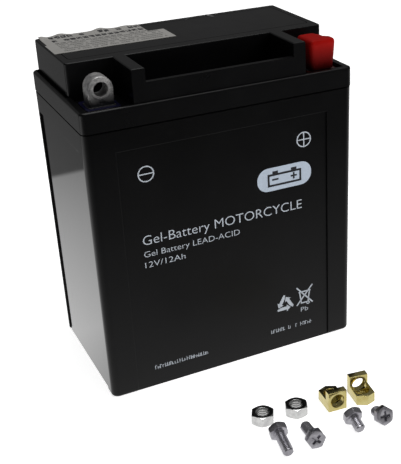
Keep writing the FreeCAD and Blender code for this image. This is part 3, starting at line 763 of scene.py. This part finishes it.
def buildScrap():
    low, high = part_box("label_scrap")
    size = high - low
    bm = bmesh.new()
    for tear in residueStrips:
        start, end = (Vector((low.x + size.x * x, low.y + size.y * y, 0))
                      for x, y in (tear["start"], tear["end"]))
        strip = bmesh.ops.create_grid(bm, x_segments=24, y_segments=3, size=0.5)["verts"]
        for vert in strip:
            torn = 1 + 0.5 * noise.noise(Vector((vert.co.x * 9, vert.co.y * 3, tear["start"][0] * 7)))
            vert.co = Vector((vert.co.x * (end - start).length, vert.co.y * tear["width"] * mm * torn, 0))
        turn = Matrix.Rotation(math.atan2(end.y - start.y, end.x - start.x), 3, "Z")
        bmesh.ops.rotate(bm, cent=(0, 0, 0), matrix=turn, verts=strip)
        bmesh.ops.translate(bm, vec=(start + end) / 2 + Vector((0, 0, low.z + 0.01 * mm)), verts=strip)
    thicken(bm, size.z * 0.6)
    finishPiece(bm, "labelResidue", "root", "paperResidue", ["label_scrap"], 50)


# printing on the front panel, laid on its draft a hair proud

panelShape = {"footY": -37.9, "draft": 1.2, "seamZ": 135.0, "proud": 0.03, "film": 0.03}


def panelY(z):
    return panelShape["footY"] * mm - panelShape["draft"] * z / panelShape["seamZ"]


def layOnPanel(bm, name, finish):
    # the flat drawing has X across and Y up; it becomes a thin film on the drafted front panel
    thicken(bm, panelShape["film"] * mm)
    for vert in bm.verts:
        x, up, rise = vert.co
        vert.co = Vector((x, panelY(up) - panelShape["proud"] * mm - rise, up))
    return finishPiece(bm, name, "root", finish, smoothBelow=30)


def drawBar(bm, start, end, width):
    # a straight stroke between two points, in millimetres on the panel
    a, b = Vector(start) * mm, Vector(end) * mm
    bar = bmesh.ops.create_grid(bm, x_segments=1, y_segments=1, size=0.5)["verts"]
    bmesh.ops.scale(bm, vec=((b - a).length, width * mm, 1), verts=bar)
    turn = Matrix.Rotation(math.atan2(b.y - a.y, b.x - a.x), 3, "Z")
    bmesh.ops.rotate(bm, cent=(0, 0, 0), matrix=turn, verts=bar)
    bmesh.ops.translate(bm, vec=((a.x + b.x) / 2, (a.y + b.y) / 2, 0), verts=bar)


def drawPole(bm, centre, reach, stroke, positive):
    # a minus, and for a plus the two uprights that meet it
    x, up = centre
    drawBar(bm, (x - reach, up), (x + reach, up), stroke)
    if positive:
        drawBar(bm, (x, up + stroke / 2), (x, up + reach), stroke)
        drawBar(bm, (x, up - reach), (x, up - stroke / 2), stroke)


def drawRing(bm, centre, radius, width, segments=40):
    outer = bmesh.ops.create_circle(bm, segments=segments, radius=(radius + width / 2) * mm)["verts"]
    inner = bmesh.ops.create_circle(bm, segments=segments, radius=(radius - width / 2) * mm)["verts"]
    loops = list({edge for vert in outer + inner for edge in vert.link_edges})
    bmesh.ops.bridge_loops(bm, edges=loops)
    bmesh.ops.translate(bm, vec=(centre[0] * mm, centre[1] * mm, 0), verts=outer + inner)


def drawPatch(bm, points):
    bm.faces.new([bm.verts.new((x * mm, up * mm, 0)) for x, up in points])


polaritySigns = {"negative": (-39.9, 111.5), "positive": (40.4, 112.3)}
signShape = {"radius": 3.65, "stroke": 0.55, "bar": 3.4}


def buildPolaritySign(pole):
    bm = bmesh.new()
    drawRing(bm, polaritySigns[pole], signShape["radius"], signShape["stroke"])
    drawPole(bm, polaritySigns[pole], signShape["bar"], signShape["stroke"], pole == "positive")
    layOnPanel(bm, pole + "Sign", "printInk")


printedLines = {
    "titleLine": {"words": "Gel-Battery MOTORCYCLE", "left": -44.1, "right": 38.7, "base": 76.6, "cap": 4.7},
    "secondLine": {"words": "Gel Battery LEAD-ACID", "left": -44.0, "right": 4.7, "base": 70.4, "cap": 2.9},
    "ratingLine": {"words": "12V/12Ah", "left": -43.9, "right": -23.9, "base": 64.9, "cap": 2.9},
    "leadSign": {"words": "Pb", "left": 37.2, "right": 41.4, "base": 17.9, "cap": 2.5},
}
letterShape = {"thinning": -0.009, "smoothness": 4}


def buildPrintedLine(name):
    line = printedLines[name]
    curve = bpy.data.curves.new(name + "Curve", "FONT")
    curve.body = line["words"]
    curve.resolution_u = letterShape["smoothness"]
    curve.offset = letterShape["thinning"]
    probe = bpy.data.curves.new(name + "Probe", "FONT")
    probe.body = "H"
    flat = []
    for source in (curve, probe):
        holder = newObject(source.name, source)
        bpy.context.view_layer.update()
        depsgraph = bpy.context.evaluated_depsgraph_get()
        flat.append(bpy.data.meshes.new_from_object(holder.evaluated_get(depsgraph)))
        bpy.data.objects.remove(holder)
    capHeight = max(vert.co.y for vert in flat[1].vertices)
    left = min(vert.co.x for vert in flat[0].vertices)
    right = max(vert.co.x for vert in flat[0].vertices)
    bm = bmesh.new()
    bm.from_mesh(flat[0])
    wide = (line["right"] - line["left"]) / (right - left) * mm
    tall = line["cap"] / capHeight * mm
    bmesh.ops.translate(bm, vec=(-left, 0, 0), verts=bm.verts)
    bmesh.ops.scale(bm, vec=(wide, tall, 0), verts=bm.verts)
    bmesh.ops.translate(bm, vec=(line["left"] * mm, line["base"] * mm, 0), verts=bm.verts)
    layOnPanel(bm, name, "printInk")


badgeShape = {"centre": (29.6, 95.2), "half": (14.6, 6.0), "rounding": 5.7,
              "reach": 8.6, "foot": -3.3, "top": 2.2, "stroke": 1.05,
              "postX": 5.0, "postUp": 3.4, "postHalf": 1.5, "postStroke": 1.3,
              "signUp": -0.3, "signHalf": 1.7, "signStroke": 0.9}


def buildBadge():
    # a pale lozenge with a little battery drawn in it
    shape = badgeShape
    x, up = shape["centre"]
    wide, tall = shape["half"]
    plate = bmesh.new()
    base = bmesh.ops.create_grid(plate, x_segments=1, y_segments=1, size=1.0)["verts"]
    bmesh.ops.scale(plate, vec=(wide * mm, tall * mm, 1), verts=base)
    bmesh.ops.bevel(plate, geom=base, offset=shape["rounding"] * mm, offset_type="OFFSET", segments=12,
                    profile=0.5, affect="VERTICES", material=-1, clamp_overlap=True)
    bmesh.ops.translate(plate, vec=(x * mm, up * mm, 0), verts=plate.verts)
    layOnPanel(plate, "badgePlate", "badgeInk")
    reach, stroke = shape["reach"], shape["stroke"]
    foot, top, post = up + shape["foot"], up + shape["top"], up + shape["postUp"]
    mark = bmesh.new()
    for side in (-1, 1):
        middle = x + side * shape["postX"]
        drawBar(mark, (x + side * reach, foot), (x + side * reach, top), stroke)
        half = shape["postHalf"]
        drawBar(mark, (middle - half, post), (middle + half, post), shape["postStroke"])
        drawPole(mark, (middle, up + shape["signUp"]), shape["signHalf"], shape["signStroke"], side > 0)
    for level in (top, foot):
        drawBar(mark, (x - reach - stroke / 2, level), (x + reach + stroke / 2, level), stroke)
    piece = layOnPanel(mark, "badgeMark", "badgeDark")
    for vert in piece.data.vertices:
        vert.co.y -= (panelShape["film"] + 0.01) * mm


recycleShape = {"centre": (28.1, 25.0), "offset": 2.45, "start": -4.1, "neck": 0.9, "tip": 3.2, "band": 1.8,
                "head": 3.9}


def buildRecycleSign():
    # three flat arrows chasing round a triangle
    shape = recycleShape
    x, up = shape["centre"]
    low, high = -shape["offset"] - shape["band"] / 2, -shape["offset"] + shape["band"] / 2
    wide = shape["head"] / 2
    bm = bmesh.new()
    for turn in (0, 120, 240):
        spin = Matrix.Rotation(math.radians(turn), 2)
        arrow = [(shape["start"], low), (shape["neck"], low), (shape["neck"], -shape["offset"] - wide),
                 (shape["tip"], -shape["offset"]), (shape["neck"], -shape["offset"] + wide),
                 (shape["neck"], high), (shape["start"] + 1.7, high), (shape["start"] - 0.4, low + 1.0)]
        drawPatch(bm, [tuple(Vector((x, up)) + spin @ Vector(point)) for point in arrow])
    layOnPanel(bm, "recycleSign", "printInk")


binShape = {"centre": (39.5, 25.8), "half": (4.6, 6.9), "wheel": (0.42, -0.5, 0.75, 0.5), "strokes": [
    (-1, -0.55, 1, 0.95, 0.75), (-1, 0.95, 1, -0.55, 0.75),  # the cross
    (-0.62, 0.5, -0.42, -0.42, 0.7), (0.62, 0.5, 0.42, -0.42, 0.7),  # the sides
    (-0.75, 0.52, 0.75, 0.52, 0.7), (-0.5, -0.42, 0.5, -0.42, 0.7),  # lid and foot
]}


def buildBinSign():
    # a wheeled bin crossed out; places are shares of its half width and half height
    x, up = binShape["centre"]
    wide, tall = binShape["half"]
    bm = bmesh.new()
    for startX, startUp, endX, endUp, width in binShape["strokes"]:
        drawBar(bm, (x + wide * startX, up + tall * startUp), (x + wide * endX, up + tall * endUp), width)
    wheelX, wheelUp, radius, stroke = binShape["wheel"]
    drawRing(bm, (x + wide * wheelX, up + tall * wheelUp), radius, stroke, 16)
    layOnPanel(bm, "binSign", "printInk")


footRows = {
    "footRowLeft": {"left": -43.6, "right": -15.6, "base": 9.2, "height": 2.1, "strokes": 22},
    "footRowRight": {"left": 19.6, "right": 43.6, "base": 9.8, "height": 2.1, "strokes": 17},
}
footMarks = {"missing": 0.07, "heights": (0.72, 1.0, 1.0), "levels": (0.12, 0.5, 0.88), "stroke": 0.3,
             "first": 0.2, "bar": (0.36, 0.75), "second": 0.9, "secondHeight": 0.8, "secondStroke": 0.26}


def buildFootRow(name):
    # short upright and level strokes that stand for small print
    row = footRows[name]
    marks = footMarks
    base = row["base"]
    pitch = (row["right"] - row["left"]) / row["strokes"]
    bm = bmesh.new()
    for index in range(row["strokes"]):
        if random.random() < marks["missing"]:
            continue
        x = row["left"] + index * pitch
        tall = row["height"] * random.choice(marks["heights"])
        level = base + tall * random.choice(marks["levels"])
        first, second = x + pitch * marks["first"], x + pitch * marks["second"]
        barStart, barEnd = (x + pitch * along for along in marks["bar"])
        drawBar(bm, (first, base), (first, base + tall), marks["stroke"])
        drawBar(bm, (barStart, level), (barEnd, level), marks["stroke"])
        if random.random() < 0.5:
            drawBar(bm, (second, base), (second, base + tall * marks["secondHeight"]), marks["secondStroke"])
    layOnPanel(bm, name, "printInk")


buildTerminalCap()
for pole in ("negative", "positive"):
    buildTerminal(pole)
print("cap and terminals made")
for nodeName in boltPlaces:
    buildBolt(nodeName)
for nodeName in ("nut_1", "nut_2"):
    buildNut(nodeName)
for nodeName in blockPlaces:
    buildBlock(nodeName)
print("loose hardware made")
buildLabel()
buildScrap()
for pole in polaritySigns:
    buildPolaritySign(pole)
for name in printedLines:
    buildPrintedLine(name)
buildBadge()
buildRecycleSign()
buildBinSign()
for name in footRows:
    buildFootRow(name)
print("label and printing made")


# studio: pale floor, a card with the table's tones for mirrored light, soft lights above

floorShape = {"width": 6.0, "depth": 6.0, "tint": (0.9, 0.9, 0.9, 1), "glow": 0.82}
# each place along Y, in metres, and the tone there
tableTones = [(-0.5, 0.06), (-0.33, 0.1), (-0.3, 0.17), (-0.215, 0.33), (-0.13, 0.62), (-0.06, 0.85),
              (0.03, 1.55), (0.25, 0.8), (0.258, 0.21), (0.5, 0.15)]
lamps = {
    "topBox": {"place": (0.1, 0.05, 1.0), "aim": (0, 0, 0.1), "size": (0.9, 0.7), "power": 5.0,
               "mirrored": True},
    "keyBox": {"place": (0.75, -0.85, 0.75), "aim": (0, 0, 0.09), "size": (0.5, 0.5), "power": 7.0,
               "mirrored": False},
}
worldTone = (0.115, 0.115, 0.115, 1)
cameraPlace = {"place": (-0.1706, -0.4318, 0.2775), "yaw": 26.36, "pitch": 23.29, "roll": -1.90,
               "sensor": 36.0, "lens": 76.8569, "shift": (-0.160345, -0.0875), "nearest": 0.01}


def flatCard(name, z):
    shape = floorShape
    bm = bmesh.new()
    verts = bmesh.ops.create_grid(bm, x_segments=1, y_segments=1, size=0.5)["verts"]
    bmesh.ops.scale(bm, vec=(shape["width"], shape["depth"], 1), verts=verts)
    bmesh.ops.translate(bm, vec=(0, 0, z), verts=verts)
    mesh = bpy.data.meshes.new(name)
    bm.to_mesh(mesh)
    bm.free()
    shine = {"Base Color": shape["tint"], "Roughness": 0.8, "Specular IOR Level": 0.0,
             "Emission Color": (1, 1, 1, 1), "Emission Strength": shape["glow"]}
    material, tree, shader, place = newMaterial(name, shine)
    mesh.materials.append(material)
    card = newObject(name, mesh)
    return card, tree, shader, place


def buildStudio():
    # the camera sees an even white floor; polished faces see a table whose brightness falls away
    floor = flatCard("studioFloor", -0.0002)[0]
    floor.visible_glossy = False
    table, tree, shader, place = flatCard("tableTone", -0.0001)
    table.visible_camera = False
    table.visible_diffuse = False
    table.visible_shadow = False
    shader.inputs["Base Color"].default_value = (0, 0, 0, 1)
    ramp = addNode(tree, "ShaderNodeValToRGB", {"Fac": remap(tree, axisOf(tree, place, "Y"), -0.5, 0.5)})
    stops = ramp.color_ramp.elements
    while len(stops) < len(tableTones):
        stops.new(0.5)
    for stop, (y, tone) in zip(stops, tableTones):
        stop.position = y + 0.5
        stop.color = (tone, tone, tone, 1)
    plug(tree, ramp.outputs["Color"], shader.inputs["Emission Color"])
    shader.inputs["Emission Strength"].default_value = 1.0
    for name, lamp in lamps.items():
        light = bpy.data.lights.new(name, "AREA")
        light.shape = "RECTANGLE"
        light.size, light.size_y = lamp["size"]
        light.energy = lamp["power"]
        holder = newObject(name, light)
        aim = Vector(lamp["aim"]) - Vector(lamp["place"])
        holder.matrix_world = (Matrix.Translation(lamp["place"])
                               @ aim.to_track_quat("-Z", "Y").to_matrix().to_4x4())
        holder.visible_glossy = lamp["mirrored"]
    world = bpy.data.worlds.new("studioWorld")
    world.use_nodes = True
    world.node_tree.nodes["Background"].inputs["Color"].default_value = worldTone
    bpy.context.scene.world = world


def buildCamera():
    shot = cameraPlace
    yaw, pitch, roll = (math.radians(shot[key]) for key in ("yaw", "pitch", "roll"))
    ahead = Vector((math.sin(yaw) * math.cos(pitch), math.cos(yaw) * math.cos(pitch), -math.sin(pitch)))
    level = Vector((math.cos(yaw), -math.sin(yaw), 0))
    upright = level.cross(ahead)
    right = level * math.cos(roll) + upright * math.sin(roll)
    up = upright * math.cos(roll) - level * math.sin(roll)
    lens = bpy.data.cameras.new("studioCamera")
    lens.sensor_width = shot["sensor"]
    lens.lens = shot["lens"]
    lens.shift_x, lens.shift_y = shot["shift"]
    lens.clip_start = shot["nearest"]
    camera = newObject("studioCamera", lens)
    turn = Matrix((right, up, -ahead)).transposed().to_4x4()
    camera.matrix_world = Matrix.Translation(shot["place"]) @ turn
    bpy.context.scene.camera = camera


buildStudio()
buildCamera()
bpy.context.scene.view_settings.view_transform = "Standard"
print("studio and camera set")
